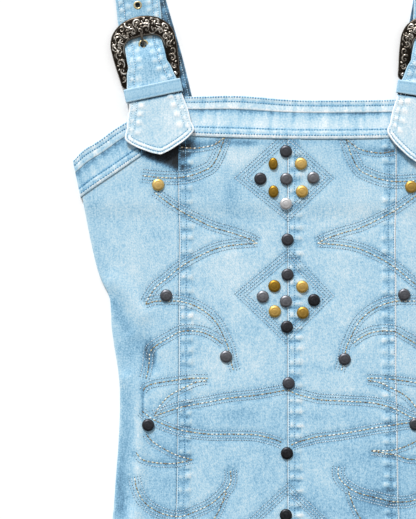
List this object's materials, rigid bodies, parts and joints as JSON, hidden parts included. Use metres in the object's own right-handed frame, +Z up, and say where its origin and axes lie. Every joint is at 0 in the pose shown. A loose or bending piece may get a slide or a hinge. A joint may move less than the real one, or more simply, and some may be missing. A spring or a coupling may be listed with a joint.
{
  "type": "denim dress",
  "caption": "Fitted denim dress laid flat, with a banded neckline, seamed panels, domed studs and two straps with horseshoe buckles.",
  "frame": {"origin": "middle of the part's box on the surface it lies on, under the centre back", "axes": "+X towards the right of the picture, the wearer's left; +Y from hem to straps; +Z up out of the surface, through the back and the front"},
  "size_m": [0.407, 0.8992, 0.0122],
  "materials": {
    "denim": "washed light blue twill",
    "denim_band": "washed light blue twill, rubbed paler on its folded edges",
    "denim_strap": "washed pale blue twill",
    "denim_keeper": "washed mid blue twill",
    "antique_brass": "aged brass",
    "gunmetal": "dark plated, polished",
    "antique_silver": "antiqued silver plate with dark engraving"
  },
  "bodies": {
    "root": {"front_centre_left": "denim", "front_centre_right": "denim", "front_side_left": "denim", "front_side_right": "denim", "back_centre": "denim", "back_side_left": "denim", "back_side_right": "denim", "band_front": "denim_band", "band_side_left": "denim_band", "band_side_right": "denim_band", "band_back": "denim_band", "strap_left": "denim_strap", "strap_right": "denim_strap", "tab_left": "denim_strap", "tab_right": "denim_strap", "keeper_left": "denim_keeper", "keeper_right": "denim_keeper", "buckle_left": "antique_silver", "buckle_right": "antique_silver", "prong_left": "antique_silver", "prong_right": "antique_silver", "stud_diamond_1_1": "gunmetal", "stud_diamond_1_2": "antique_brass", "stud_diamond_1_3": "antique_brass", "stud_diamond_1_4": "gunmetal", "stud_diamond_1_5": "gunmetal", "stud_diamond_1_6": "gunmetal", "stud_diamond_1_7": "antique_brass", "stud_diamond_1_8": "antique_brass", "stud_diamond_1_9": "gunmetal", "stud_diamond_2_1": "gunmetal", "stud_diamond_2_2": "antique_brass", "stud_diamond_2_3": "antique_brass", "stud_diamond_2_4": "gunmetal", "stud_diamond_2_5": "gunmetal", "stud_diamond_2_6": "gunmetal", "stud_diamond_2_7": "antique_brass", "stud_diamond_2_8": "antique_brass", "stud_diamond_2_9": "gunmetal", "stud_diamond_3_1": "gunmetal", "stud_diamond_3_2": "antique_brass", "stud_diamond_3_3": "antique_brass", "stud_diamond_3_4": "gunmetal", "stud_diamond_3_5": "gunmetal", "stud_diamond_3_6": "gunmetal", "stud_diamond_3_7": "antique_brass", "stud_diamond_3_8": "antique_brass", "stud_diamond_3_9": "gunmetal", "stud_seam_1": "gunmetal", "stud_seam_2": "gunmetal", "stud_seam_3": "gunmetal", "stud_side_1": "antique_brass", "stud_side_2": "antique_brass", "stud_side_3": "gunmetal", "stud_side_4": "gunmetal", "stud_side_5": "gunmetal", "stud_side_6": "gunmetal", "stud_side_7": "gunmetal", "stud_side_8": "gunmetal"}
  },
  "joints": []
}
